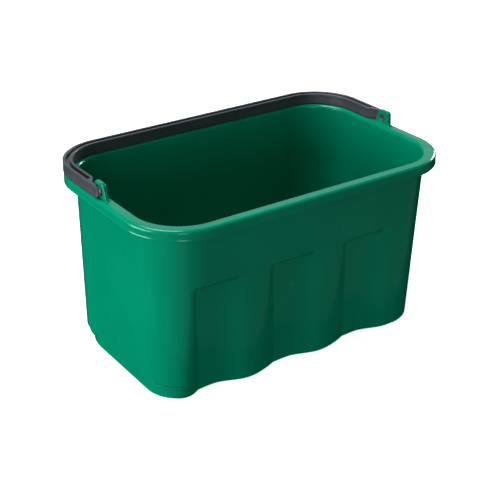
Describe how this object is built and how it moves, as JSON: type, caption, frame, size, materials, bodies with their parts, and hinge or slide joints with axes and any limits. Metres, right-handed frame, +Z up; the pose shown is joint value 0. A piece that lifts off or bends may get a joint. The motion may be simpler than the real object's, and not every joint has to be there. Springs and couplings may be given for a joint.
{
  "type": "florist bucket",
  "caption": "Rectangular florist bucket with rounded corners, flared rim, fluted front wall and a carrying handle that folds back onto the rim.",
  "frame": {"origin": "middle of the rim's plan, on the ground under the base", "axes": "+X along the long side to the end without a foot step, +Y to the back where the handle rests, +Z up"},
  "size_m": [0.4, 0.248, 0.2233],
  "materials": {
    "tub_plastic": "smooth glossy moulded polypropylene, bluish green",
    "handle_plastic": "satin moulded plastic, charcoal black"
  },
  "bodies": {
    "tub": {"tub": "tub_plastic", "rim": "tub_plastic", "ear_left": "tub_plastic", "ear_right": "tub_plastic"},
    "handle": {"handle": "handle_plastic"}
  },
  "joints": [
    {"name": "handle_pivot", "type": "hinge", "parent": "tub", "child": "handle", "pos_m": [0, 0, 0.2138], "axis": [1, 0, 0], "range_deg": [0, 180]}
  ]
}
